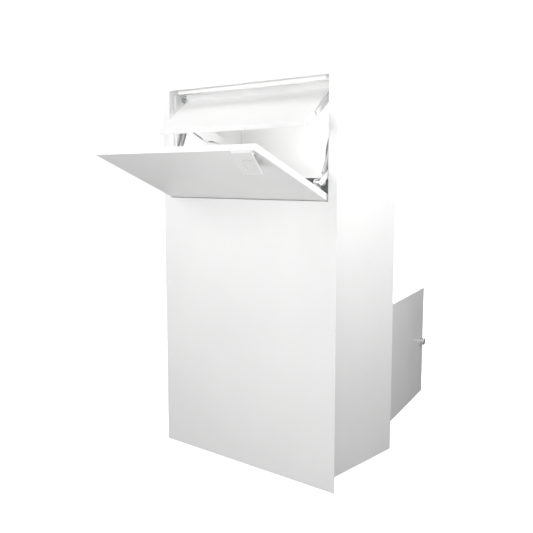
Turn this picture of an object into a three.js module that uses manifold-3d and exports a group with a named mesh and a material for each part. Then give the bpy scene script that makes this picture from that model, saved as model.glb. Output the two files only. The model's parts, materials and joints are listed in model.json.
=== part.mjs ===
// Parcel drop box, wall-built type: deposit flap and guard baffle in front, collection door behind.
// Units are millimetres. +X is to the right seen from the front, +Y goes back into the wall, +Z is up.
// The origin lies on the back face of the mounting flange, in the middle of its lower strip.
import * as THREE from 'three';
import { mergeVertices } from 'three/addons/utils/BufferGeometryUtils.js';
import Module from 'manifold-3d';

const wasm = await Module();
wasm.setup();

// ---------------------------------------------------------------- driving dimensions
const DEG = Math.PI / 180;
const SHEET = 1.5; // folded steel sheet
const SEAM = 0.3; // gap left between neighbouring pieces

const FLANGE = 20; // the front plate overhangs the body by this on all sides
const PLATE_T = 2;
const SEAT = SEAM; // depth of the shallow seat in the plate's back that takes the body
const BODY_W = 450;
const BODY_H = 800;
const BODY_D = 240;
const BODY_Z0 = FLANGE / 2;
const BODY_Z1 = BODY_Z0 + BODY_H;
const INNER_X = BODY_W / 2 - SHEET;
const WALL_X = INNER_X - SEAM; // fittings on the side walls start here
const SILL_Z = 569.2; // lower edge of the deposit opening

const FLAP_X = 221.5;
const FLAP_T = 12;
const FLAP_Z0 = 572;
const FLAP_Z1 = 806.2;
const FLAP_AXIS = [4, 575]; // [y, z]
const FLAP_OPEN = 66.56; // degrees from closed to the stored open pose

const BAFFLE_AXIS = [46, 792];
const BAFFLE_SWING = 50; // degrees turned while the flap closes
const BAFFLE_X = 203.1;
const BAFFLE_FRONT = [-50.5, 719];
const BAFFLE_CREASE = [36.5, 788.5];
const BAFFLE_TOP = [29.5, 801];
const BAFFLE_LIP = 10;

const LUG_PIN = [27.2, 598.7]; // lug pin that carries the strut, flap closed
const ARM_PIN = [21.7, 611.3]; // lug pin that carries the drive arm, flap closed
const LUG_PIN_R = 2.5;
const LUG_X = [207.2, 208.7];
const RUNNING = 0.1; // radial clearance of a pivot

const STRUT_X = 215;
const STRUT_TOP = [62.6, 780];
const STRUT_R = 6;
const STRUT_BORE_R = 4.2;
const STRUT_ROD_R = 3;
const STRUT_TUBE = 130; // from the lower eye's centre to the tube's mouth
const STRUT_NECK = 18; // the slim stretch that passes the arm's pin, measured from the lower eye
const STRUT_NECK_R = 4;
const STRUT_ROD = 148; // from the upper eye's centre to the rod's end
const STUD_R = 3;
const STRUT_EYE_R = 6.5;
const STRUT_EYE_T = 8;

const ARM_LENGTH = 150.2;
const ARM_ANGLE = 37.4; // degrees above the horizontal, flap open
const ARM_TURN = -0.12; // turn of the arm per unit turn of the closing flap
const ARM_X = [221.3, 222.7];
const ARM_HALF = 5.5;
const GUIDE_PIN_R = 1.6;
const GUIDE_SLOT_R = 1.9;

const CHEEK_X = [203.5, 205];
const CHEEK_FRONT = 14;
const CHEEK_BOTTOM = 613;
const CRANK_X = [205.4, 206.9];

const DOOR_AXIS = [195.5, 242.5]; // [x, y]
const DOOR_OPEN = 75; // degrees from closed to the stored open pose
const DOOR_X = 192.5;
const DOOR_Z0 = 36.6;
const DOOR_Z1 = 319.6;
const DOOR_T = 10;
const DOOR_GAP = 1.5;
const KNOB_X = -169.5;
const KNOB_Z = 178;

const GRIP_X = [168, 216];
const GRIP_LENGTH = 48;
const GRIP_ANGLE = 28.2 * DEG; // lean of the grip plate away from the flap
const GRIP_START = 4.8; // height of its face above the flap at the free edge
const GRIP_T = 2.2;
const KEY_COLUMNS = [185, 207];
// Each row's distance down the plate and how many keys it has, from the left column on.
const KEY_ROWS = [[16, 1], [22.5, 2], [29, 2], [35.5, 1]];
const KEY_R = 1.5;
const KEY_PROUD = 0.9; // how far a key stands out of the plate
const KEY_DEPTH = 1.6; // how far it reaches into the plate
const LOCK_CASE_T = 2.6;
const LOCK_X = 192;
const LOCK_BARREL_R = 5;
const LOCK_Z = 780.2;

// ---------------------------------------------------------------- materials
const paint = (hex, rough) => new THREE.MeshStandardMaterial({
  color: hex, roughness: rough, metalness: 0,
});
const metal = (hex, rough) => new THREE.MeshStandardMaterial({
  color: hex, roughness: rough, metalness: 1,
});
const WHITE = paint(0xf2f2f0, 0.45);
const ZINC = metal(0xb9bdc2, 0.35);
const TUBE = metal(0x55585c, 0.3);
const CHROME = metal(0xd6d9dc, 0.15);
const RUBBER = paint(0x2b2c2e, 0.85);
const PLASTIC = paint(0x3a3c40, 0.6);

const part = new THREE.Group();
part.name = 'parcel_drop_box';

// ---------------------------------------------------------------- helpers
const BASIS = {
  x: new THREE.Matrix4().makeBasis(
    new THREE.Vector3(0, 1, 0), new THREE.Vector3(0, 0, 1), new THREE.Vector3(1, 0, 0)),
  y: new THREE.Matrix4().makeBasis(
    new THREE.Vector3(0, 0, 1), new THREE.Vector3(1, 0, 0), new THREE.Vector3(0, 1, 0)),
  z: new THREE.Matrix4(),
};

function solidOf(geometry) {
  const bare = geometry.clone();
  bare.deleteAttribute('normal');
  bare.deleteAttribute('uv');
  const merged = mergeVertices(bare, 1e-5);
  return new wasm.Manifold(new wasm.Mesh({
    numProp: 3,
    vertProperties: Float32Array.from(merged.attributes.position.array),
    triVerts: Uint32Array.from(merged.index.array),
  }));
}

function shapeOf(points) {
  return new THREE.Shape(points.map(([a, b]) => new THREE.Vector2(a, b)));
}

function circleShape([a, b], r) {
  const shape = new THREE.Shape();
  shape.absarc(a, b, r, 0, 2 * Math.PI, false);
  return shape;
}

// Extrudes a shape along an axis. Shape coordinates are (y, z) for x, (z, x) for y and (x, y) for z.
function extrude(axis, shape, from, to) {
  const low = Math.min(from, to);
  const geometry = new THREE.ExtrudeGeometry(shape, {
    depth: Math.abs(to - from), bevelEnabled: false, curveSegments: 16,
  });
  geometry.translate(0, 0, low);
  geometry.applyMatrix4(BASIS[axis]);
  return solidOf(geometry);
}

const prism = (axis, points, from, to) => extrude(axis, shapeOf(points), from, to);
const rod = (axis, centre, r, from, to) => extrude(axis, circleShape(centre, r), from, to);

function box([x0, x1], [y0, y1], [z0, z1]) {
  const geometry = new THREE.BoxGeometry(Math.abs(x1 - x0), y1 - y0, z1 - z0);
  geometry.translate((x0 + x1) / 2, (y0 + y1) / 2, (z0 + z1) / 2);
  return solidOf(geometry);
}

const join = (solids) => solids.reduce((a, b) => a.add(b));
const cut = (solid, tools) => tools.reduce((a, b) => a.subtract(b), solid);

// Turns a solid about an axis through a point of the plane that the axis crosses.
function turned(solid, axis, [a, b], degrees) {
  const [shift, spin] = axis === 'x' ? [[0, a, b], [degrees, 0, 0]] : [[a, b, 0], [0, 0, degrees]];
  return solid.translate(shift.map((v) => -v)).rotate(spin).translate(shift);
}
const openFlap = (solid) => turned(solid, 'x', FLAP_AXIS, FLAP_OPEN);
const openDoor = (solid) => turned(solid, 'z', DOOR_AXIS, -DOOR_OPEN);

function spun([y, z], [cy, cz], degrees) {
  const c = Math.cos(degrees * DEG);
  const s = Math.sin(degrees * DEG);
  return [cy + (y - cy) * c - (z - cz) * s, cz + (y - cy) * s + (z - cz) * c];
}

// The strip within a distance of a path, with round ends.
function ribbon(path, half) {
  const left = [];
  const right = [];
  const heading = (i) => {
    const [a, b] = [path[Math.max(i - 1, 0)], path[Math.min(i + 1, path.length - 1)]];
    return Math.atan2(b[1] - a[1], b[0] - a[0]);
  };
  path.forEach(([a, b], i) => {
    const h = heading(i);
    left.push([a - half * Math.sin(h), b + half * Math.cos(h)]);
    right.unshift([a + half * Math.sin(h), b - half * Math.cos(h)]);
  });
  const cap = (i, start) => [1, 2, 3, 4, 5, 6, 7].map((k) => {
    const h = heading(i) + start - k * Math.PI / 8;
    return [path[i][0] + half * Math.cos(h), path[i][1] + half * Math.sin(h)];
  });
  const last = path.length - 1;
  return [...left, ...cap(last, Math.PI / 2), ...right, ...cap(0, -Math.PI / 2)];
}

function put(name, solid, material) {
  const data = solid.getMesh();
  const geometry = new THREE.BufferGeometry();
  geometry.setAttribute('position', new THREE.BufferAttribute(Float32Array.from(data.vertProperties), 3));
  geometry.setIndex(new THREE.BufferAttribute(Uint32Array.from(data.triVerts), 1));
  const flat = geometry.toNonIndexed();
  flat.computeVertexNormals();
  const mesh = new THREE.Mesh(flat, material);
  mesh.name = name;
  part.add(mesh);
}

const SIDES = [['left', -1], ['right', 1]];
const span = (side, [a, b]) => [side * a, side * b];

// ---------------------------------------------------------------- cabinet
function frontPlate() {
  const half = BODY_W / 2 + FLANGE;
  const low = BODY_Z0 - FLANGE;
  const high = BODY_Z1 + FLANGE;
  const blank = box([-half, half], [-PLATE_T, 0], [low, high]);
  const opening = box([-INNER_X, INNER_X], [-PLATE_T - 1, 1], [SILL_Z, BODY_Z1 - 1]);
  const seatHalf = BODY_W / 2 + SEAM;
  const seat = box([-seatHalf, seatHalf], [-SEAT, 1], [BODY_Z0 - SEAM, BODY_Z1 + SEAM]);
  put('front_plate', cut(blank, [opening, seat]), WHITE);
}

function bodyPanels() {
  for (const [word, side] of SIDES) {
    put(`side_panel_${word}`,
      box(span(side, [INNER_X, BODY_W / 2]), [0, BODY_D], [BODY_Z0, BODY_Z1]), WHITE);
  }
  put('roof_panel', box([-WALL_X, WALL_X], [0, BODY_D], [BODY_Z1 - SHEET, BODY_Z1]), WHITE);
  put('floor_panel', box([-WALL_X, WALL_X], [0, BODY_D], [BODY_Z0, BODY_Z0 + SHEET]), WHITE);
  const rear = box([-WALL_X, WALL_X], [BODY_D - SHEET, BODY_D],
    [BODY_Z0 + SHEET + SEAM, BODY_Z1 - SHEET - SEAM]);
  const doorway = box([-DOOR_X - DOOR_GAP, DOOR_X + DOOR_GAP], [BODY_D - 5, BODY_D + 5],
    [DOOR_Z0 - DOOR_GAP, DOOR_Z1 + DOOR_GAP]);
  put('rear_panel', cut(rear, [doorway]), WHITE);
}

// The strip under the roof that the closed flap rests against and the latch tongue hooks behind.
function flapStop() {
  const y = -PLATE_T + FLAP_T + 0.5;
  const top = BODY_Z1 - SHEET - SEAM;
  const profile = [[y, top - 7.2], [y + SHEET, top - 7.2], [y + SHEET, top - SHEET],
    [y + 12, top - SHEET], [y + 12, top], [y, top]];
  put('flap_stop_strip', prism('x', profile, -207, 207), WHITE);
}

// Angle strips on both walls that the sides of the closed flap rest against.
function jambStops() {
  const front = -PLATE_T + FLAP_T + 0.5;
  const inner = 215;
  const depth = 4;
  for (const [word, side] of SIDES) {
    const outline = [[side * inner, front], [side * WALL_X, front], [side * WALL_X, front + depth],
      [side * (WALL_X - SHEET), front + depth], [side * (WALL_X - SHEET), front + SHEET],
      [side * inner, front + SHEET]];
    if (side < 0) outline.reverse();
    put(`jamb_stop_${word}`, prism('z', outline, 682, 800), WHITE);
  }
}

function rearLiner() {
  const back = BODY_D - SHEET - SEAM;
  const low = CHEEK_BOTTOM;
  const profile = [[back, low], [back, 800], [back - SHEET, 800], [back - SHEET, low + SHEET],
    [back - 10, low + SHEET], [back - 10, low]];
  put('rear_liner', prism('x', profile, -CHEEK_X[0], CHEEK_X[0]), WHITE);
}

function floorMat() {
  const z = BODY_Z0 + SHEET + SEAM;
  put('floor_mat', box([-214, 214], [8, 226], [z, z + 2]), RUBBER);
}

// Position of the arm's guide pin while the flap turns from open (0) to closed (1).
function guidePoint(share) {
  const closing = share * FLAP_OPEN;
  const pin = spun(ARM_PIN, FLAP_AXIS, FLAP_OPEN - closing);
  const angle = (ARM_ANGLE + ARM_TURN * closing) * DEG;
  return [pin[0] + ARM_LENGTH * Math.cos(angle), pin[1] + ARM_LENGTH * Math.sin(angle)];
}
const SHARES = Array.from({ length: 17 }, (_, i) => i / 16);

// Side plates between the parcel's way and the linkage, each with the arm's guide slot.
function cheeks() {
  const back = 166;
  const top = 737.2;
  // The front edge leans as the strut beside it does.
  const outline = [[CHEEK_FRONT + 8, CHEEK_BOTTOM], [back, CHEEK_BOTTOM], [back, 701.9], [88, top],
    [42, top], [CHEEK_FRONT, 668], [CHEEK_FRONT, CHEEK_BOTTOM + 8]];
  const path = [[54, 717.4], ...SHARES.map(guidePoint)];
  for (const [word, side] of SIDES) {
    const plate = prism('x', outline, side * CHEEK_X[0], side * CHEEK_X[1]);
    const slot = prism('x', ribbon(path, GUIDE_SLOT_R), side * (CHEEK_X[0] - 1), side * (CHEEK_X[1] + 1));
    const reach = span(side, [CHEEK_X[0], WALL_X]);
    const foot = box(reach, [100, back], [CHEEK_BOTTOM, CHEEK_BOTTOM + SHEET]);
    const flange = box(reach, [back - SHEET, back], [CHEEK_BOTTOM, 655]);
    put(`cheek_${word}`, cut(join([plate, foot, flange]), [slot]), WHITE);
  }
}

// A flanged stud on a side wall with a retaining head at its inner end.
function wallStud(side, [y, z], r, flangeR, inner, headR) {
  return join([
    rod('x', [y, z], flangeR, side * 221.9, side * WALL_X),
    rod('x', [y, z], r, side * inner, side * 222.5),
    rod('x', [y, z], headR, side * (inner - 1.2), side * (inner + 0.2)),
  ]);
}

function wallStuds() {
  for (const [word, side] of SIDES) {
    put(`strut_stud_${word}`,
      wallStud(side, STRUT_TOP, STUD_R, 9, STRUT_X - STRUT_EYE_T / 2 - 0.6, 4.8), ZINC);
    put(`baffle_pivot_${word}`, wallStud(side, BAFFLE_AXIS, 4, 10, CRANK_X[0] - 0.6, 5.5), ZINC);
  }
}

function flapPivots() {
  const [y, z] = FLAP_AXIS;
  for (const [word, side] of SIDES) {
    const plate = box(span(side, [221.9, WALL_X]), [SEAM, 18], [560, 590]);
    put(`flap_pivot_${word}`, join([plate, rod('x', [y, z], 2, side * 205, side * 222.5)]), ZINC);
  }
}

// Small striker plates on both jambs, each with a slot and a round buffer.
function jambCatches() {
  for (const [word, side] of SIDES) {
    const plate = box(span(side, [222.1, WALL_X]), [0.8, 10], [742, 768]);
    const slot = box(span(side, [221, 224]), [2.6, 7.4], [745.5, 754.5]);
    const buffer = rod('x', [4.6, 761], 3, side * 221.8, side * 222.6);
    put(`jamb_catch_${word}`, join([cut(plate, [slot]), buffer]), WHITE);
  }
}

// ---------------------------------------------------------------- deposit flap
function flapShell() {
  const outer = -PLATE_T;
  const inner = outer + FLAP_T;
  const sideZ = FLAP_Z0 + 8;
  const skin = box([-FLAP_X, FLAP_X], [outer, outer + SHEET], [FLAP_Z0, FLAP_Z1]);
  const top = box([-FLAP_X, FLAP_X], [outer, inner], [FLAP_Z1 - SHEET, FLAP_Z1]);
  const returns = SIDES.map(([, side]) =>
    box(span(side, [FLAP_X - SHEET, FLAP_X]), [outer, inner], [sideZ, FLAP_Z1]));
  const lockHole = rod('y', [LOCK_Z, LOCK_X], LOCK_BARREL_R + 0.4, outer - 1, inner + 1);
  put('flap_outer_pan', openFlap(cut(join([skin, top, ...returns]), [lockHole])), WHITE);

  const coverX = FLAP_X - SHEET - SEAM;
  const cover = box([-coverX, coverX], [inner - SHEET, inner], [FLAP_Z0 + 10.3, FLAP_Z1 - SHEET - SEAM]);
  put('flap_inner_cover', openFlap(cut(cover, [lockHole])), WHITE);

  const rail = box([-coverX, coverX], [outer + SHEET + SEAM, inner], [FLAP_Z0, FLAP_Z0 + 10]);
  const bore = rod('x', FLAP_AXIS, 2 + RUNNING, -230, 230);
  put('flap_hinge_rail', openFlap(cut(rail, [bore])), WHITE);
}

function flapLugs() {
  const base = -PLATE_T + FLAP_T + SEAM;
  const [low, high] = [588, 610];
  const outline = [[base, low], [20, 592], [31, 593], [35, 597], [35, 602], [27, 615], [24, 616],
    [19, 616], [base, high]];
  for (const [word, side] of SIDES) {
    const ear = prism('x', outline, ...span(side, LUG_X));
    const foot = box(span(side, [190.5, LUG_X[1]]), [base, base + 2], [low, high]);
    const holes = [LUG_PIN, ARM_PIN].map((pin) => rod('x', pin, LUG_PIN_R + 0.2, side * 206, side * 211));
    put(`flap_lug_${word}`, openFlap(cut(join([ear, foot]), holes)), WHITE);
    lugPin(`lug_pin_${word}`, side, LUG_PIN, [219.3, 220.3], 220.3);
    lugPin(`arm_pin_${word}`, side, ARM_PIN, [ARM_X[0] - 1.6, ARM_X[0] - SEAM], ARM_X[1]);
  }
}

// A pin through the ear of a lug, with a head inside the ear and a collar farther out.
function lugPin(name, side, place, collar, end) {
  const head = [LUG_X[0] - 1, LUG_X[0] - SEAM];
  put(name, openFlap(join([
    rod('x', place, LUG_PIN_R, ...span(side, [head[0] + 0.2, end])),
    rod('x', place, 4.2, ...span(side, head)),
    rod('x', place, 4.2, ...span(side, collar)),
  ])), ZINC);
}

// Flap coordinates of a point on the grip plate's face: down the face, then out of it.
function gripPoint(down, out) {
  const c = Math.cos(GRIP_ANGLE);
  const s = Math.sin(GRIP_ANGLE);
  return [-PLATE_T - GRIP_START - down * s - out * c, FLAP_Z1 - down * c + out * s];
}

// A solid standing on the grip plate, made upright along Y and leaned over.
function onGrip(solid) {
  const [y, z] = gripPoint(0, 0);
  return solid.rotate([-GRIP_ANGLE / DEG, 0, 0]).translate([0, y, z]);
}

function gripPlate() {
  const skin = -PLATE_T - SEAM;
  const outline = [[skin, FLAP_Z1], gripPoint(0, 0), gripPoint(GRIP_LENGTH, 0),
    gripPoint(GRIP_LENGTH, -GRIP_T), gripPoint(7, -GRIP_T), [-PLATE_T - 2.5, FLAP_Z1 - 8],
    [-PLATE_T - 2.5, FLAP_Z1 - 18], [skin, FLAP_Z1 - 18]];
  const holes = [];
  const grooves = [];
  const [left, right] = KEY_COLUMNS;
  for (const [row, count] of KEY_ROWS) {
    for (const x of KEY_COLUMNS.slice(0, count)) {
      holes.push(onGrip(rod('y', [-row, x], KEY_R + 0.25, -4, 4)));
    }
    grooves.push(onGrip(box([left + 3, right - 3], [-1, 0.4], [-row - 0.5, -row + 0.5])));
  }
  const [firstRow] = KEY_ROWS[0];
  grooves.push(onGrip(box([left + 3, right + 1], [-1, 1.4], [-firstRow - 0.8, -firstRow + 0.8])));
  put('grip_plate', openFlap(cut(prism('x', outline, ...GRIP_X), [...holes, ...grooves])), WHITE);
}

function codeLock() {
  let number = 1;
  for (const [row, count] of KEY_ROWS) {
    for (const x of KEY_COLUMNS.slice(0, count)) {
      const key = rod('y', [-row, x], KEY_R, -KEY_PROUD, KEY_DEPTH);
      put(`code_key_${number}`, openFlap(onGrip(key)), WHITE);
      number += 1;
    }
  }
  const near = GRIP_T + SEAM;
  const slab = box([178, 212], [near, near + LOCK_CASE_T], [-41, -12]);
  put('lock_case', openFlap(onGrip(slab)), PLASTIC);
  const inner = -PLATE_T + FLAP_T;
  const through = rod('y', [LOCK_Z, LOCK_X], LOCK_BARREL_R, -30, inner + 2.1);
  const behindCase = onGrip(box([170, 215], [near + LOCK_CASE_T + SEAM, 60], [-80, 20]));
  put('lock_barrel', openFlap(through.intersect(behindCase)), ZINC);
}

// Turns behind the stop strip to hold the flap shut; stored lying along the flap's edge.
function latchTongue() {
  const blade = join([
    box([LOCK_X - 25, LOCK_X], [12.4, 14.4], [LOCK_Z - 6, LOCK_Z + 6]),
    rod('y', [LOCK_Z, LOCK_X], 6, 12.4, 14.4),
    rod('y', [LOCK_Z, LOCK_X], 3.5, 14.2, 17),
  ]);
  put('latch_tongue', openFlap(blade), ZINC);
}

// ---------------------------------------------------------------- guard baffle
function bafflePanel() {
  const [front, crease] = [BAFFLE_FRONT, BAFFLE_CREASE];
  const run = Math.hypot(crease[0] - front[0], crease[1] - front[1]);
  const along = [(crease[0] - front[0]) / run, (crease[1] - front[1]) / run];
  const under = [along[1], -along[0]];
  const at = (s, d) => [front[0] + along[0] * s + under[0] * d, front[1] + along[1] * s + under[1] * d];
  const profile = [[front[0], front[1] - BAFFLE_LIP], front, crease, BAFFLE_TOP,
    [BAFFLE_TOP[0] + 1.35, BAFFLE_TOP[1] + 0.7], at(run + 0.4, SHEET),
    [front[0] + SHEET, front[1] - 0.7], [front[0] + SHEET, front[1] - BAFFLE_LIP]];
  const sheet = prism('x', profile, -BAFFLE_X, BAFFLE_X);
  const outline = [at(3, 0.2), at(run - 2, 0.2), at(run - 2, 12), at(8, 16)];
  const returns = SIDES.map(([, side]) =>
    prism('x', outline, side * (BAFFLE_X - SHEET), side * BAFFLE_X));
  put('baffle_panel', join([sheet, ...returns]), WHITE);

  const path = SHARES.map((share) => spun(guidePoint(share), BAFFLE_AXIS, -share * BAFFLE_SWING));
  const leg = [at(run - 75, 3), at(run - 5, 1.8), at(run + 4, 14), at(run - 75, 12)];
  const elbow = guidePoint(0);
  for (const [word, side] of SIDES) {
    const slab = (points) => prism('x', points, side * CRANK_X[0], side * CRANK_X[1]);
    const body = join([
      rod('x', BAFFLE_AXIS, 12, side * CRANK_X[0], side * CRANK_X[1]),
      slab(ribbon([BAFFLE_AXIS, elbow], 9)),
      slab(ribbon(path, 8.5)),
      slab(leg),
    ]);
    const reach = [side * (CRANK_X[0] - 1), side * (CRANK_X[1] + 1)];
    const slot = prism('x', ribbon(path, GUIDE_SLOT_R), ...reach);
    const bore = rod('x', BAFFLE_AXIS, 4 + RUNNING, ...reach);
    const boss = rod('x', at(run - 30, 6), 4, side * (BAFFLE_X + SEAM), side * (CRANK_X[0] + 0.5));
    put(`baffle_crank_${word}`, cut(body.add(boss), [slot, bore]), WHITE);
  }
}

// ---------------------------------------------------------------- struts and drive arms
const OPEN_PIN = spun(LUG_PIN, FLAP_AXIS, FLAP_OPEN);

// Places a solid made along -Z from the origin so that it points from one place to another.
function aimed(solid, [y0, z0], [y1, z1], x) {
  const lean = Math.atan2(y1 - y0, z0 - z1) / DEG;
  return solid.rotate([lean, 0, 0]).translate([x, y0, z0]);
}

function eye(holeR) {
  const half = STRUT_EYE_T / 2;
  return {
    ring: rod('x', [0, 0], STRUT_EYE_R, -half, half),
    hole: rod('x', [0, 0], holeR + RUNNING, -half - 1, half + 1),
  };
}

function struts() {
  for (const [word, side] of SIDES) {
    const lower = eye(LUG_PIN_R);
    const barrel = rod('z', [0, 0], STRUT_R, -STRUT_TUBE, -STRUT_NECK);
    const neck = rod('z', [0, 0], STRUT_NECK_R, -STRUT_NECK - 1, -4);
    const bore = rod('z', [0, 0], STRUT_BORE_R, -STRUT_TUBE - 1, -STRUT_NECK - 5);
    const tube = cut(join([lower.ring, barrel, neck]), [lower.hole, bore]);
    put(`strut_tube_${word}`, aimed(tube, OPEN_PIN, STRUT_TOP, side * STRUT_X), TUBE);
    const upper = eye(STUD_R);
    const stem = cut(join([upper.ring, rod('z', [0, 0], STRUT_ROD_R, -STRUT_ROD, -4)]), [upper.hole]);
    put(`strut_rod_${word}`, aimed(stem, STRUT_TOP, OPEN_PIN, side * STRUT_X), CHROME);
  }
}

function driveArms() {
  const guide = guidePoint(0);
  const pivot = spun(ARM_PIN, FLAP_AXIS, FLAP_OPEN);
  for (const [word, side] of SIDES) {
    const bar = prism('x', ribbon([pivot, guide], ARM_HALF), side * ARM_X[0], side * ARM_X[1]);
    const pin = rod('x', guide, GUIDE_PIN_R, side * (CHEEK_X[0] - 0.8), side * (ARM_X[0] + 1));
    const hole = rod('x', pivot, LUG_PIN_R + RUNNING, side * (ARM_X[0] - 1), side * (ARM_X[1] + 1));
    put(`drive_arm_${word}`, cut(join([bar, pin]), [hole]), WHITE);
  }
}

// ---------------------------------------------------------------- collection door
const KNUCKLE_R = 2.2;
const DOOR_PIN_R = 1.2;
const HINGES = [['lower', 85], ['upper', 270]];

function door() {
  const [back, front] = [BODY_D, BODY_D - DOOR_T];
  const shell = box([-DOOR_X, DOOR_X], [front, back], [DOOR_Z0, DOOR_Z1]);
  const hollow = box([-DOOR_X + SHEET, DOOR_X - SHEET], [front - 1, back - SHEET],
    [DOOR_Z0 + SHEET, DOOR_Z1 - SHEET]);
  const shaftHole = rod('y', [KNOB_Z, KNOB_X], 4.4, front - 5, back + 5);
  put('door_outer_pan', openDoor(cut(shell, [hollow, shaftHole])), WHITE);
  const inset = SHEET + SEAM;
  const cover = box([-DOOR_X + inset, DOOR_X - inset], [front, front + 1.2],
    [DOOR_Z0 + inset, DOOR_Z1 - inset]);
  put('door_inner_panel', openDoor(cut(cover, [shaftHole])), WHITE);
}

// One leaf with its knuckles: knuckle z ranges are measured from the hinge's middle.
function hingeLeaf(middle, towards, knuckles) {
  const [x, y] = DOOR_AXIS;
  const [y0, y1] = [BODY_D + SEAM, BODY_D + 1.6];
  const leaf = box([x + towards * 2.9, x + towards * 18], [y0, y1], [middle - 25, middle + 25]);
  const barrels = knuckles.flatMap(([low, high]) => [
    rod('z', [x, y], KNUCKLE_R, middle + low, middle + high),
    box([x, x + towards * 3.2], [y0, y1], [middle + low, middle + high]),
  ]);
  const bore = rod('z', [x, y], DOOR_PIN_R + RUNNING, middle - 40, middle + 40);
  return cut(join([leaf, ...barrels]), [bore]);
}

function doorHinges() {
  for (const [word, middle] of HINGES) {
    put(`hinge_leaf_${word}`, hingeLeaf(middle, 1, [[-25, -9], [9, 25]]), ZINC);
    put(`door_leaf_${word}`, openDoor(hingeLeaf(middle, -1, [[-8.7, 8.7]])), ZINC);
    const pin = join([
      rod('z', DOOR_AXIS, DOOR_PIN_R, middle - 26, middle + 26),
      rod('z', DOOR_AXIS, 2, middle + 25.3, middle + 26.6),
    ]);
    put(`hinge_pin_${word}`, pin, CHROME);
  }
}

// The angle behind the doorway's free side that the door closes against and its cam hooks behind.
function doorStop() {
  const y = BODY_D - DOOR_T - SEAM;
  const profile = [[-185, y], [-185, y - SHEET], [-207.5, y - SHEET], [-207.5, BODY_D - SHEET - SEAM],
    [-206, BODY_D - SHEET - SEAM], [-206, y]];
  put('door_stop_angle', prism('z', profile, 60, 300), WHITE);
}

function doorLock() {
  const centre = [KNOB_Z, KNOB_X];
  const knob = join([
    rod('y', centre, 4, BODY_D - 15.2, BODY_D + 2),
    rod('y', centre, 7, BODY_D + 0.4, BODY_D + 2.2),
    rod('y', centre, 9.2, BODY_D + 2, BODY_D + 9.8),
    rod('y', centre, 7.8, BODY_D + 9.6, BODY_D + 11),
  ]);
  put('door_knob', openDoor(knob), CHROME);
  const cam = join([
    box([KNOB_X - 6, KNOB_X + 6], [BODY_D - 14.4, BODY_D - 12.4], [KNOB_Z - 34, KNOB_Z]),
    rod('y', centre, 8, BODY_D - 14.4, BODY_D - 12.4),
  ]);
  const eyeHole = rod('y', centre, 4.3, BODY_D - 20, BODY_D);
  put('door_cam', openDoor(cut(cam, [eyeHole])), ZINC);
}

// ---------------------------------------------------------------- assembly
frontPlate();
bodyPanels();
flapStop();
jambStops();
rearLiner();
floorMat();
cheeks();
wallStuds();
flapPivots();
jambCatches();
flapShell();
flapLugs();
gripPlate();
codeLock();
latchTongue();
bafflePanel();
struts();
driveArms();
door();
doorHinges();
doorStop();
doorLock();

export default part;
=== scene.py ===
"""The looks of the parcel drop box: finishes, small hardware, light and camera around the CAD frame."""

import json
import math

import bmesh
import bpy
from mathutils import Matrix, Vector


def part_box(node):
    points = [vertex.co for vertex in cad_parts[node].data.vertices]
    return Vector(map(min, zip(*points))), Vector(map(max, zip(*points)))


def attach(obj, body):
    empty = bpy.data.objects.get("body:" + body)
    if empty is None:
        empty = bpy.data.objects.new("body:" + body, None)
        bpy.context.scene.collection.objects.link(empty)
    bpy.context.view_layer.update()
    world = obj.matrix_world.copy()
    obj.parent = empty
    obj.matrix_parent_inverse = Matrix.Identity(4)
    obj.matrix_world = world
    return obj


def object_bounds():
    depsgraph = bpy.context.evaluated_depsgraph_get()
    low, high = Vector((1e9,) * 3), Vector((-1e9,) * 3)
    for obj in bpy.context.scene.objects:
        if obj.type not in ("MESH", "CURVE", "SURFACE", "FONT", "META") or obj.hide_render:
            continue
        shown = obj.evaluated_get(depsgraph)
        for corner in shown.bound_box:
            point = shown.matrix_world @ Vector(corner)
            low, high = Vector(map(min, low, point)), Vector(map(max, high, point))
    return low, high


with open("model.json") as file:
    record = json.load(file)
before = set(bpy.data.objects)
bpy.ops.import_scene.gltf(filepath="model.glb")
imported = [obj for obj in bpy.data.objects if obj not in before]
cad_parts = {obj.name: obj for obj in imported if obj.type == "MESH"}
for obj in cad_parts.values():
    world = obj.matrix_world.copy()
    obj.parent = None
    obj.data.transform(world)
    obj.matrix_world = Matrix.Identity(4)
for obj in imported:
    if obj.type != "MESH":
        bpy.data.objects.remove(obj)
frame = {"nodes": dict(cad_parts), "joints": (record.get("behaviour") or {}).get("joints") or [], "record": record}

CAD_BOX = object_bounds()
MM = 0.001
NODES = frame["nodes"]
# Each side's name, and the way from it to the middle of the box along X.
SIDES = (("left", 1), ("right", -1))

# ---------------------------------------------------------------- camera and stage
CAMERA_PLACE = Vector((1.0709, -1.1595, 0.6169))
CAMERA_YAW = math.radians(40.906)
CAMERA_PITCH = math.radians(-6.891)
CAMERA_LENS = 50.3
SENSOR_WIDTH = 36.0
NEAREST_SEEN = 0.01
STAGE_SIZE = 40.0
FLOOR_GAP = 0.5 * MM
# Strength of the sky: its diffuse light above and below the horizon, and what the camera sees.
SKY_ABOVE = 0.18
SKY_BELOW = 0.31
SKY_SEEN = 1.05
# Heights, on a sphere of radius 1, between which the diffuse light fades.
SKY_FADE = (-0.6, 0.5)
WHITE_LIGHT = (1.0, 1.0, 1.0, 1.0)
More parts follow.
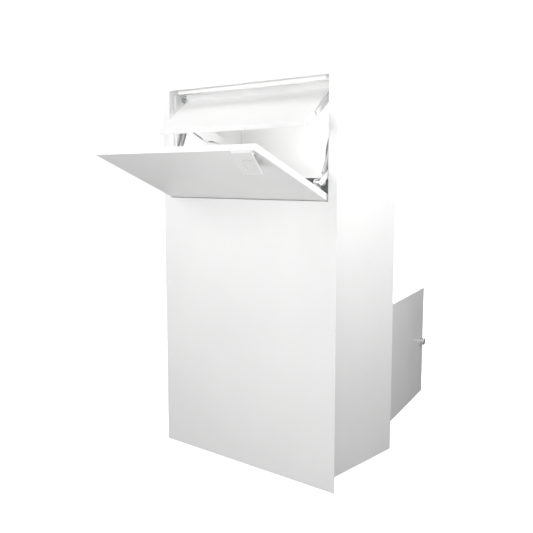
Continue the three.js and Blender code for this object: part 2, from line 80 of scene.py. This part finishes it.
# Name, place, target, size and power of each area light.
LIGHTS = [
    ("key", (1.1, -0.95, 1.0), (0.12, 0.0, 0.82), (0.6, 0.6), 3.35),
    ("overhead", (0.1, -0.2, 1.6), (0.0, -0.06, 0.72), (0.8, 0.2), 3.4),
    ("left_high", (-0.7, -0.95, 1.05), (0.0, 0.0, 0.8), (0.6, 0.6), 7.4),
    ("side_high", (1.0, 0.2, 0.92), (0.22, 0.1, 0.72), (0.5, 0.6), 7.3),
    ("below_flap", (0.3, -0.9, 0.25), (0.0, -0.1, 0.65), (0.8, 0.4), 3.8),
    ("chamber", (0.0, 0.08, 0.62), (-0.04, 0.14, 1.0), (0.38, 0.1), 0.41),
    ("behind", (-1.2, 1.9, 1.2), (0.0, 0.24, 0.45), (1.0, 1.0), 26.0),
]
# What shiny pieces reflect: brightest from this direction, darkest from the opposite one.
REFLECTED_FROM = (-0.72, -0.62, 0.3)
REFLECTED_FADE = (-0.25, 0.65)
REFLECTED = (0.1, 1.15)


def make_camera():
    data = bpy.data.cameras.new("camera")
    data.sensor_width = SENSOR_WIDTH
    data.lens = CAMERA_LENS
    data.clip_start = NEAREST_SEEN
    camera = bpy.data.objects.new("camera", data)
    camera.location = CAMERA_PLACE
    camera.rotation_euler = (math.pi / 2 + CAMERA_PITCH, 0.0, CAMERA_YAW)
    bpy.context.collection.objects.link(camera)
    bpy.context.scene.camera = camera


def make_floor(material):
    """A wide floor just under the box, which takes no part in the light that reaches it."""
    half = STAGE_SIZE / 2
    ground = CAD_BOX[0][2] - FLOOR_GAP
    mesh = bpy.data.meshes.new("floor")
    mesh.from_pydata(
        [(-half, -half, ground), (half, -half, ground), (half, half, ground), (-half, half, ground)],
        [], [(0, 1, 2, 3)])
    floor = bpy.data.objects.new("floor", mesh)
    floor.data.materials.append(material)
    bpy.context.collection.objects.link(floor)
    floor.visible_diffuse = False
    floor.visible_glossy = False


def area_light(name, place, target, size, power):
    data = bpy.data.lights.new(name, "AREA")
    data.shape = "RECTANGLE"
    data.size, data.size_y = size
    data.energy = power
    light = bpy.data.objects.new(name, data)
    light.location = place
    aim = Vector(target) - Vector(place)
    light.rotation_euler = aim.to_track_quat("-Z", "Y").to_euler()
    light.visible_camera = False
    bpy.context.collection.objects.link(light)


def soft_fade(tree, source, start, end):
    """Eases from the first to the second value of end while source runs across start."""
    fade = tree.nodes.new("ShaderNodeMapRange")
    fade.interpolation_type = "SMOOTHSTEP"
    fade.inputs["From Min"].default_value, fade.inputs["From Max"].default_value = start
    fade.inputs["To Min"].default_value, fade.inputs["To Max"].default_value = end
    tree.links.new(source, fade.inputs["Value"])
    return fade.outputs["Result"]


def sky_by_height(tree):
    """Diffuse light of the sky, which fades from below the horizon to above it."""
    place = tree.nodes.new("ShaderNodeTexCoord")
    split = tree.nodes.new("ShaderNodeSeparateXYZ")
    tree.links.new(place.outputs["Generated"], split.inputs["Vector"])
    return soft_fade(tree, split.outputs["Z"], SKY_FADE, (SKY_BELOW, SKY_ABOVE))


def reflected_studio(tree):
    """The bright screen on one side and the dark room on the other, for reflections only."""
    place = tree.nodes.new("ShaderNodeTexCoord")
    toward = tree.nodes.new("ShaderNodeVectorMath")
    toward.operation = "DOT_PRODUCT"
    toward.inputs[1].default_value = REFLECTED_FROM
    tree.links.new(place.outputs["Generated"], toward.inputs[0])
    return soft_fade(tree, toward.outputs["Value"], REFLECTED_FADE, REFLECTED)


def make_sky():
    """White to the camera, a soft sky to matt surfaces and the lit studio to shiny ones."""
    world = bpy.data.worlds.new("studio")
    world.use_nodes = True
    tree = world.node_tree
    lit = tree.nodes["Background"]
    rays = tree.nodes.new("ShaderNodeLightPath")
    strength = tree.nodes.new("ShaderNodeMix")
    tree.links.new(rays.outputs["Is Glossy Ray"], strength.inputs["Factor"])
    tree.links.new(sky_by_height(tree), strength.inputs["A"])
    tree.links.new(reflected_studio(tree), strength.inputs["B"])
    tree.links.new(strength.outputs["Result"], lit.inputs["Strength"])
    lit.inputs["Color"].default_value = WHITE_LIGHT
    seen = tree.nodes.new("ShaderNodeBackground")
    seen.inputs["Color"].default_value = WHITE_LIGHT
    seen.inputs["Strength"].default_value = SKY_SEEN
    either = tree.nodes.new("ShaderNodeMixShader")
    tree.links.new(rays.outputs["Is Camera Ray"], either.inputs["Fac"])
    tree.links.new(lit.outputs["Background"], either.inputs[1])
    tree.links.new(seen.outputs["Background"], either.inputs[2])
    tree.links.new(either.outputs["Shader"], tree.nodes["World Output"].inputs["Surface"])
    bpy.context.scene.world = world


def make_light():
    make_sky()
    bpy.context.scene.view_settings.view_transform = "Standard"
    for name, place, target, size, power in LIGHTS:
        area_light(name, place, target, size, power)


# ---------------------------------------------------------------- materials
BLACK = (0.0, 0.0, 0.0)
# Most of a noise lies between these two values.
NOISE_SPREAD = (0.3, 0.7)


class Shader:
    """A Principled material under construction, with short calls for its nodes."""

    def __init__(self, name, color, roughness, metallic=0.0):
        self.material = bpy.data.materials.new(name)
        self.material.use_nodes = True
        self.tree = self.material.node_tree
        self.surface = self.tree.nodes["Principled BSDF"]
        self.surface.inputs["Base Color"].default_value = (*color, 1.0)
        self.surface.inputs["Roughness"].default_value = roughness
        self.surface.inputs["Metallic"].default_value = metallic
        place = self.tree.nodes.new("ShaderNodeTexCoord")
        self.place = place.outputs["Object"]

    def link(self, source, target):
        self.tree.links.new(source, target)

    def stretched(self, scale):
        """The object's own coordinates, scaled by axis."""
        mapping = self.tree.nodes.new("ShaderNodeMapping")
        mapping.inputs["Scale"].default_value = scale
        self.link(self.place, mapping.inputs["Vector"])
        return mapping.outputs["Vector"]

    def noise(self, scale, detail=3.0, stretch=None):
        node = self.tree.nodes.new("ShaderNodeTexNoise")
        node.inputs["Scale"].default_value = scale
        node.inputs["Detail"].default_value = detail
        source = self.stretched(stretch) if stretch else self.place
        self.link(source, node.inputs["Vector"])
        return node.outputs["Fac"]

    def ramp(self, factor, stops):
        """A colour for each value of factor, between two (position, colour) stops."""
        node = self.tree.nodes.new("ShaderNodeValToRGB")
        for point, (position, color) in zip(node.color_ramp.elements, stops):
            point.position = position
            point.color = (*color, 1.0)
        self.link(factor, node.inputs["Fac"])
        return node.outputs["Color"]

    def span(self, factor, low, high):
        """Spreads a noise over the range from low to high."""
        node = self.tree.nodes.new("ShaderNodeMapRange")
        node.inputs["From Min"].default_value, node.inputs["From Max"].default_value = NOISE_SPREAD
        node.inputs["To Min"].default_value = low
        node.inputs["To Max"].default_value = high
        self.link(factor, node.inputs["Value"])
        return node.outputs["Result"]

    def mixed(self, factor, first, second):
        node = self.tree.nodes.new("ShaderNodeMix")
        node.data_type = "RGBA"
        self.link(factor, node.inputs["Factor"])
        self.link(first, node.inputs["A"])
        self.link(second, node.inputs["B"])
        return node.outputs["Result"]

    def bump(self, height, depth, strength):
        """Relief of a given depth in metres."""
        node = self.tree.nodes.new("ShaderNodeBump")
        node.inputs["Strength"].default_value = strength
        node.inputs["Distance"].default_value = depth
        self.link(height, node.inputs["Height"])
        self.link(node.outputs["Normal"], self.surface.inputs["Normal"])

    def color(self, source):
        self.link(source, self.surface.inputs["Base Color"])

    def roughness(self, source):
        self.link(source, self.surface.inputs["Roughness"])

    def clear_coat(self, weight, roughness):
        self.surface.inputs["Coat Weight"].default_value = weight
        self.surface.inputs["Coat Roughness"].default_value = roughness

    def cloudy(self, scale, detail, dark, bright):
        """A base colour that drifts between two shades."""
        low, high = NOISE_SPREAD
        self.color(self.ramp(self.noise(scale, detail), [(low, dark), (high, bright)]))


COAT_LIGHT = (0.93, 0.93, 0.925)
COAT_SHADE = (0.9, 0.9, 0.897)
COAT_PEEL = 0.12 * MM


def powder_coat(name, light, shade):
    """Satin white powder coat: faint cloudiness, orange peel and slightly rubbed edges."""
    s = Shader(name, light, 0.42)
    s.clear_coat(0.12, 0.25)
    clouds = s.ramp(s.noise(5.0, 4.0), [(0.35, shade), (0.65, light)])
    edges = s.tree.nodes.new("ShaderNodeNewGeometry").outputs["Pointiness"]
    rubbed = s.ramp(edges, [(0.52, BLACK), (0.62, (0.35, 0.35, 0.35))])
    bright = s.ramp(s.noise(140.0, 2.0), [(0.4, light), (0.7, (0.97, 0.97, 0.965))])
    s.color(s.mixed(rubbed, clouds, bright))
    s.roughness(s.span(s.noise(22.0, 5.0), 0.36, 0.5))
    s.bump(s.noise(1100.0, 2.0), COAT_PEEL, 0.25)
    return s


def inside_of(s, limits):
    """1 where the object's coordinates meet every (axis, comparison, limit), and 0 elsewhere."""
    split = s.tree.nodes.new("ShaderNodeSeparateXYZ")
    s.link(s.place, split.inputs["Vector"])
    inside = None
    for axis, comparison, limit in limits:
        test = s.tree.nodes.new("ShaderNodeMath")
        test.operation = comparison
        test.inputs[1].default_value = limit
        s.link(split.outputs[axis], test.inputs[0])
        if inside is None:
            inside = test.outputs["Value"]
            continue
        both = s.tree.nodes.new("ShaderNodeMath")
        both.operation = "MULTIPLY"
        s.link(inside, both.inputs[0])
        s.link(test.outputs["Value"], both.inputs[1])
        inside = both.outputs["Value"]
    return inside


def storage_shade_spangle(s):
    """Painted shade: a dark spangled grey that stands in for the shade inside the storage."""
    spangle = s.tree.nodes.new("ShaderNodeTexVoronoi")
    spangle.inputs["Scale"].default_value = 90.0
    s.link(s.place, spangle.inputs["Vector"])
    return s.ramp(spangle.outputs["Distance"],
                  [(0.0, (0.115, 0.119, 0.123)), (1.0, (0.185, 0.189, 0.193))])


def paint_storage_shade(s, top):
    """Paints shade onto the storage's inner faces below a given height, in place of the white coat."""
    skin = 0.3 * MM
    half_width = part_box("side_panel_right")[0].x + skin
    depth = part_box("rear_panel")[0].y + skin
    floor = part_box("floor_panel")[1].z - skin
    inside = inside_of(s, [
        ("X", "LESS_THAN", half_width), ("X", "GREATER_THAN", -half_width),
        ("Y", "LESS_THAN", depth), ("Y", "GREATER_THAN", skin),
        ("Z", "LESS_THAN", top), ("Z", "GREATER_THAN", floor),
    ])
    painted = s.surface.inputs["Base Color"].links[0].from_socket
    s.color(s.mixed(inside, painted, storage_shade_spangle(s)))
    return s.material


def zinc_plate():
    """Bright zinc plate: fine rolling streaks and a faint spangle."""
    s = Shader("zinc_plate", (0.66, 0.67, 0.68), 0.34, 1.0)
    s.surface.inputs["Anisotropic"].default_value = 0.4
    s.cloudy(260.0, 3.0, (0.55, 0.56, 0.58), (0.78, 0.79, 0.80))
    s.roughness(s.span(s.noise(90.0, 5.0, (1.0, 1.0, 14.0)), 0.24, 0.46))
    s.bump(s.noise(700.0, 3.0, (1.0, 1.0, 12.0)), 0.04 * MM, 0.3)
    return s.material


def strut_lacquer():
    """Grey lacquered strut tube with a soft metallic gloss and fine drawn lines."""
    s = Shader("strut_lacquer", (0.5, 0.505, 0.51), 0.36, 1.0)
    s.clear_coat(0.2, 0.2)
    s.cloudy(60.0, 4.0, (0.42, 0.425, 0.43), (0.54, 0.545, 0.55))
    s.roughness(s.span(s.noise(180.0, 3.0, (1.0, 1.0, 0.1)), 0.28, 0.42))
    s.bump(s.noise(900.0, 2.0, (1.0, 1.0, 0.06)), 0.03 * MM, 0.3)
    return s.material


def satin_chrome():
    """Satin chrome with hairline scratches."""
    s = Shader("satin_chrome", (0.9, 0.905, 0.91), 0.12, 1.0)
    s.cloudy(80.0, 4.0, (0.74, 0.75, 0.76), (0.9, 0.905, 0.91))
    s.roughness(s.span(s.noise(400.0, 5.0, (1.0, 0.15, 1.0)), 0.12, 0.24))
    s.bump(s.noise(1500.0, 2.0, (1.0, 0.1, 1.0)), 0.02 * MM, 0.2)
    return s.material


def ribbed_rubber():
    """Black ribbed rubber with dust in the grooves."""
    s = Shader("ribbed_rubber", (0.03, 0.03, 0.032), 0.8)
    ribs = s.tree.nodes.new("ShaderNodeTexWave")
    ribs.inputs["Scale"].default_value = 55.0
    s.link(s.place, ribs.inputs["Vector"])
    s.color(s.ramp(ribs.outputs["Fac"], [(0.1, (0.09, 0.088, 0.085)), (0.4, (0.028, 0.028, 0.03))]))
    s.roughness(s.span(s.noise(60.0), 0.7, 0.9))
    s.bump(ribs.outputs["Fac"], 1.2 * MM, 0.8)
    return s.material


def moulded_plastic():
    """Dark moulded plastic with a spark-eroded grain."""
    s = Shader("moulded_plastic", (0.05, 0.05, 0.055), 0.55)
    s.cloudy(120.0, 3.0, (0.04, 0.04, 0.044), (0.07, 0.07, 0.075))
    s.roughness(s.span(s.noise(240.0), 0.48, 0.66))
    s.bump(s.noise(1600.0, 2.0), 0.05 * MM, 0.5)
    return s.material


def glossy_plastic():
    """White gloss plastic of the keys, faintly rubbed by finger tips."""
    s = Shader("glossy_white_plastic", (0.96, 0.96, 0.955), 0.2)
    s.clear_coat(0.4, 0.08)
    s.cloudy(300.0, 3.0, (0.94, 0.94, 0.935), (0.98, 0.98, 0.975))
    s.roughness(s.span(s.noise(900.0, 4.0), 0.14, 0.3))
    s.bump(s.noise(2500.0, 2.0), 0.01 * MM, 0.2)
    return s.material


def floor_material():
    """A pale studio floor, lit evenly from within so that it stays as light as the backdrop."""
    s = Shader("pale_floor", (0.9, 0.9, 0.9), 0.9)
    s.cloudy(0.8, 3.0, (0.88, 0.88, 0.88), (0.91, 0.91, 0.91))
    s.surface.inputs["Emission Color"].default_value = WHITE_LIGHT
    s.surface.inputs["Emission Strength"].default_value = 1.0
    return s.material


# ---------------------------------------------------------------- finishes of the CAD nodes
# Radius in mm that the edges of each kind of node are rounded with.
EDGE_RADIUS = {
    "front_plate": 0.5, "side_panel": 0.4, "roof_panel": 0.4, "floor_panel": 0.4, "rear_panel": 0.4,
    "flap_outer_pan": 0.55, "flap_inner_cover": 0.4, "grip_plate": 0.5, "baffle_panel": 0.45,
    "door_outer_pan": 0.55, "door_inner_panel": 0.35, "drive_arm": 0.4, "floor_mat": 0.5,
    "code_key": 0.45, "door_knob": 1.0, "strut_tube": 0.5, "strut_rod": 0.3, "door_cam": 0.3,
}
DEFAULT_EDGE = 0.25
WELD_REACH = 0.002 * MM
SOFTENED_ABOVE = math.radians(35)
CREASED_ABOVE = math.radians(40)


def edge_radius(node):
    for prefix, radius in EDGE_RADIUS.items():
        if node.startswith(prefix):
            return radius * MM
    return DEFAULT_EDGE * MM


def soften(obj, radius):
    """Rounds the edges that the CAD solid leaves sharp."""
    weld = obj.modifiers.new("weld", "WELD")
    weld.merge_threshold = WELD_REACH
    bevel = obj.modifiers.new("edges", "BEVEL")
    bevel.width = radius
    bevel.segments = 2
    bevel.limit_method = "ANGLE"
    bevel.angle_limit = SOFTENED_ABOVE
    bevel.use_clamp_overlap = True
    obj.modifiers.new("shading", "WEIGHTED_NORMAL").weight = 90


def finish_nodes(by_slot):
    """Gives each CAD node the finish of its material slot, and softer edges."""
    slots = {entry["node"]: entry["material_slot"] for entry in frame["record"]["subparts"]}
    for name, obj in NODES.items():
        obj.data.materials.clear()
        obj.data.materials.append(by_slot[slots[name]])
        soften(obj, edge_radius(name))


# ---------------------------------------------------------------- turned small hardware
def place_on(name, bm, place, normal, material, body):
    """Makes a piece of bm, stands it on place along normal and lets it ride its body."""
    mesh = bpy.data.meshes.new(name)
    bm.to_mesh(mesh)
    bm.free()
    for polygon in mesh.polygons:
        polygon.use_smooth = True
    turn = Vector(normal).to_track_quat("Z", "Y").to_matrix().to_4x4()
    mesh.transform(Matrix.Translation(Vector(place)) @ turn)
    mesh.materials.append(material)
    obj = bpy.data.objects.new(name, mesh)
    bpy.context.collection.objects.link(obj)
    crease = obj.modifiers.new("creases", "EDGE_SPLIT")
    crease.split_angle = CREASED_ABOVE
    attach(obj, body)


def ring_loops(bm, rings, sides):
    """Loops of vertices from rings of (height, radius function of the angle)."""
    loops = []
    for height, radius in rings:
        loop = []
        for k in range(sides):
            angle = 2 * math.pi * k / sides
            r = radius(angle)
            loop.append(bm.verts.new((r * math.cos(angle), r * math.sin(angle), height)))
        loops.append(loop)
    return loops


def bridge(bm, low, high):
    for k in range(len(low)):
        n = (k + 1) % len(low)
        bm.faces.new((low[k], low[n], high[n], high[k]))


def ring_stack(rings, sides=24):
    """A closed solid whose rings lie one on another, with a flat face at each end."""
    bm = bmesh.new()
    loops = ring_loops(bm, rings, sides)
    for low, high in zip(loops, loops[1:]):
        bridge(bm, low, high)
    bm.faces.new(list(reversed(loops[0])))
    bm.faces.new(loops[-1])
    return bm


def round_ring(radius):
    return lambda angle: radius


def hex_ring(radius):
    """A hexagon with its corners at radius."""
    def at(angle):
        part = angle % (math.pi / 3) - math.pi / 6
        return radius * math.cos(math.pi / 6) / math.cos(part)
    return at


def button_screw(name, place, normal, radius, body):
    """A domed screw head with a hexagon socket."""
    height = radius * 0.55
    socket = radius * 0.5
    rings = [(0.0, round_ring(radius * 0.97)), (height * 0.2, round_ring(radius))]
    for step in range(1, 5):
        angle = step * math.pi / 9
        dome = round_ring(radius * math.cos(angle) ** 0.6)
        rings.append((height * (0.2 + 0.8 * math.sin(angle)), dome))
    rings.append((height * 0.99, hex_ring(socket)))
    rings.append((height * 0.35, hex_ring(socket * 0.96)))
    place_on(name, ring_stack(rings), place, normal, ZINC, body)


def pop_rivet(name, place, normal, radius, body):
    """A low domed rivet head with the mandrel's dimple."""
    height = radius * 0.36
    rings = [(0.0, round_ring(radius))]
    for step in range(1, 5):
        angle = step * math.pi / 10
        rings.append((height * math.sin(angle), round_ring(radius * math.cos(angle))))
    rings.append((height, round_ring(radius * 0.27)))
    rings.append((height * 0.4, round_ring(radius * 0.22)))
    place_on(name, ring_stack(rings, 20), place, normal, WHITE, body)


def hex_nut(name, place, normal, radius, bore, body):
    """A chamfered hexagon nut around a threaded stub."""
    height = radius * 0.45
    rings = [(0.0, hex_ring(radius)), (height * 0.8, hex_ring(radius)),
             (height, round_ring(radius * 0.84)), (height, round_ring(bore)),
             (height * 0.7, round_ring(bore * 0.92)), (height * 1.15, round_ring(bore * 0.9)),
             (height * 1.3, round_ring(bore * 0.72))]
    place_on(name, ring_stack(rings), place, normal, ZINC, body)


# ---------------------------------------------------------------- finishes in use
WHITE = powder_coat("powder_coat_white", COAT_LIGHT, COAT_SHADE).material
# The body's white coat, with painted shade on the storage's inner faces below the rear liner.
BODY_COAT_STORAGE_SHADE = paint_storage_shade(powder_coat("powder_coat_body_storage_shade", COAT_LIGHT, COAT_SHADE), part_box("rear_liner")[0].z)
# A darker copy of the white powder coat for the grip plate and lock case: painted shade, so they read as dark as
# the flap's shaded underside.
GRIP_COAT_SHADED = powder_coat("powder_coat_grip_painted_shade", (0.74, 0.74, 0.736), (0.71, 0.71, 0.707)).material
ZINC = zinc_plate()
PLASTIC = moulded_plastic()
# Nodes with a finish of their own: the body panels carry painted shade in the storage, and the grip plate and lock
# case carry a painted-shade copy of the white coat.
OWN_FINISH = {
    "side_panel_left": BODY_COAT_STORAGE_SHADE, "side_panel_right": BODY_COAT_STORAGE_SHADE,
    "rear_panel": BODY_COAT_STORAGE_SHADE, "floor_panel": BODY_COAT_STORAGE_SHADE,
    "grip_plate": GRIP_COAT_SHADED, "lock_case": GRIP_COAT_SHADED,
    "strut_rod_left": ZINC, "strut_rod_right": ZINC,
}

finish_nodes({
    "powder_coat": WHITE, "zinc": ZINC, "strut_tube": strut_lacquer(), "chrome": satin_chrome(),
    "rubber": ribbed_rubber(), "lock_plastic": PLASTIC, "key_plastic": glossy_plastic(),
})
for node, finish in OWN_FINISH.items():
    NODES[node].data.materials[0] = finish


# ---------------------------------------------------------------- hardware from the frame's own places
REAR_RIVET = 3.2 * MM
SHEET_RIVET = 2.8 * MM
HINGE_SCREW = 2.6 * MM
HINGE_SCREW_STEP = 17 * MM
HINGE_SCREW_INSET = 7 * MM
HINGE_SCREW_SEAT = 1.3 * MM


def joint(name):
    return next(entry for entry in frame["joints"] if entry["name"] == name)


def rest_of_closed(name):
    """Takes a place given with the flap or door closed to where it lies at rest, open."""
    hinge = joint(name)
    pivot = Matrix.Translation(Vector(hinge["pos_m"]))
    turn = Matrix.Rotation(-math.radians(hinge["range_deg"][1]), 4, Vector(hinge["axis"]))
    return pivot @ turn @ pivot.inverted()


def closed_box(node, name):
    """Corners of a node's box with its flap or door closed."""
    back = rest_of_closed(name).inverted()
    points = [back @ vertex.co for vertex in NODES[node].data.vertices]
    return tuple(Vector(pick(p[k] for p in points) for k in range(3)) for pick in (min, max))


def carried(place, normal, turn):
    """A place and a normal given closed, taken to where they lie at rest."""
    return turn @ Vector(place), turn.to_3x3() @ Vector(normal)


def rear_panel_rivets():
    """Rivets that hold the rear panel to the body's folded edges."""
    low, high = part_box("rear_panel")
    inset = 9 * MM
    rows = 7
    for side, x in (("left", low.x + inset), ("right", high.x - inset)):
        for k in range(rows):
            z = low.z + inset + (high.z - low.z - 2 * inset) * k / (rows - 1)
            pop_rivet(f"rear_rivet_{side}_{k + 1}", (x, high.y, z), (0, 1, 0), REAR_RIVET, "cabinet")
    gaps = 5
    for k in range(1, gaps):
        x = low.x + (high.x - low.x) * k / gaps
        pop_rivet(f"rear_rivet_top_{k}", (x, high.y, high.z - inset), (0, 1, 0), REAR_RIVET, "cabinet")


def leaf_screw_places(low, high, x):
    """Where the heads of a hinge leaf's three screws sit on it, from the lowest up."""
    middle = (low.z + high.z) / 2
    return [(x, low.y + HINGE_SCREW_SEAT, middle + k * HINGE_SCREW_STEP) for k in (-1, 0, 1)]


def hinge_screws():
    """Three screws in each leaf of the door's hinges."""
    turn = rest_of_closed("door_hinge")
    for word in ("lower", "upper"):
        low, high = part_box(f"hinge_leaf_{word}")
        for k, place in enumerate(leaf_screw_places(low, high, high.x - HINGE_SCREW_INSET)):
            button_screw(f"hinge_screw_{word}_{k + 1}", place, (0, 1, 0), HINGE_SCREW, "cabinet")
        low, high = closed_box(f"door_leaf_{word}", "door_hinge")
        for k, closed_place in enumerate(leaf_screw_places(low, high, low.x + HINGE_SCREW_INSET)):
            place, normal = carried(closed_place, (0, 1, 0), turn)
            button_screw(f"door_screw_{word}_{k + 1}", place, normal, HINGE_SCREW, "door")


def door_panel_rivets():
    """Rivets around the door's inner panel, and the nut of its lock."""
    turn = rest_of_closed("door_hinge")
    low, high = closed_box("door_inner_panel", "door_hinge")
    inset = 12 * MM
    across = [low.x + inset, (low.x + high.x) / 2, high.x - inset]
    for row, z in (("low", low.z + inset), ("high", high.z - inset)):
        for k, x in enumerate(across):
            place, normal = carried((x, low.y, z), (0, -1, 0), turn)
            pop_rivet(f"door_rivet_{row}_{k + 1}", place, normal, SHEET_RIVET, "door")
    cam_low, cam_high = closed_box("door_cam", "door_hinge")
    below_top = 8 * MM
    middle = ((cam_low.x + cam_high.x) / 2, cam_low.y, cam_high.z - below_top)
    place, normal = carried(middle, (0, -1, 0), turn)
    hex_nut("door_cam_nut", place, normal, 6.2 * MM, 3.4 * MM, "door_lock")


def flap_cover_rivets():
    """Rivets along the top of the flap's inner cover."""
    turn = rest_of_closed("flap_hinge")
    low, high = closed_box("flap_inner_cover", "flap_hinge")
    inset = 10 * MM
    count = 5
    for k in range(count):
        x = low.x + inset + (high.x - low.x - 2 * inset) * k / (count - 1)
        place, normal = carried((x, high.y, high.z - inset), (0, 1, 0), turn)
        pop_rivet(f"flap_rivet_top_{k + 1}", place, normal, SHEET_RIVET, "flap")


def lug_screws():
    """A screw in the foot of each of the flap's lugs."""
    turn = rest_of_closed("flap_hinge")
    across = 8 * MM
    up = 9 * MM
    seat = 2 * MM
    for side, inward in SIDES:
        low, high = closed_box(f"flap_lug_{side}", "flap_hinge")
        inner_x = high.x if side == "left" else low.x
        spot = (inner_x - inward * across, low.y + seat, low.z + up)
        place, normal = carried(spot, (0, 1, 0), turn)
        button_screw(f"lug_screw_{side}", place, normal, 3.4 * MM, "flap")


def latch_nut():
    """The nut that holds the latch's tongue on the lock barrel."""
    turn = rest_of_closed("flap_hinge")
    low, high = closed_box("lock_barrel", "flap_hinge")
    tongue_high = closed_box("latch_tongue", "flap_hinge")[1]
    sunk = 2.6 * MM
    middle = ((low.x + high.x) / 2, tongue_high.y - sunk, (low.z + high.z) / 2)
    place, normal = carried(middle, (0, 1, 0), turn)
    hex_nut("latch_nut", place, normal, 5.6 * MM, 3.3 * MM, "latch_tongue")


def collar_profile(inner, outer, length):
    """Height and radius along a collar's section: rounded at its start and bevelled at its end."""
    rounding = 0.6 * MM
    bevel = 0.4 * MM
    steps = 6
    profile = [(0.0, inner), (0.0, outer - rounding)]
    for k in range(1, steps):
        angle = math.pi * k / (2 * steps)
        profile.append((rounding * (1 - math.cos(angle)), outer - rounding * (1 - math.sin(angle))))
    return profile + [(length * 0.5, outer), (length, outer - bevel), (length, inner)]


def strut_collars():
    """The black seal collar at the mouth of each strut's tube."""
    length = 5 * MM
    rings = [(height, round_ring(radius)) for height, radius in collar_profile(6.02 * MM, 6.3 * MM, length)]
    for side, _ in SIDES:
        lower = Vector(joint(f"strut_tube_pivot_{side}")["pos_m"])
        upper = Vector(joint(f"strut_rod_pivot_{side}")["pos_m"])
        axis = (upper - lower).normalized()
        reach = max((v.co - lower).length for v in NODES[f"strut_tube_{side}"].data.vertices)
        bm = bmesh.new()
        loops = ring_loops(bm, rings, 40)
        for one, two in zip(loops, loops[1:] + loops[:1]):
            bridge(bm, one, two)
        bmesh.ops.recalc_face_normals(bm, faces=bm.faces)
        place_on(f"strut_collar_{side}", bm, lower + axis * (reach - length), axis, PLASTIC,
                 f"strut_tube_{side}")


def strut_caps():
    """A white cap over the head of each stud that carries a strut's upper eye."""
    profile = [(0.0, 7.2), (0.9, 7.3), (1.3, 6.6), (1.45, 3.0)]
    rings = [(height * MM, round_ring(radius * MM)) for height, radius in profile]
    for side, inward in SIDES:
        low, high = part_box(f"strut_stud_{side}")
        x = high.x if side == "left" else low.x
        place = (x, *joint(f"strut_rod_pivot_{side}")["pos_m"][1:])
        place_on(f"strut_cap_{side}", ring_stack(rings, 40), place, (inward, 0, 0), WHITE, "cabinet")


rear_panel_rivets()
hinge_screws()
door_panel_rivets()
flap_cover_rivets()
lug_screws()
latch_nut()
strut_collars()
strut_caps()
make_floor(floor_material())
make_camera()
make_light()
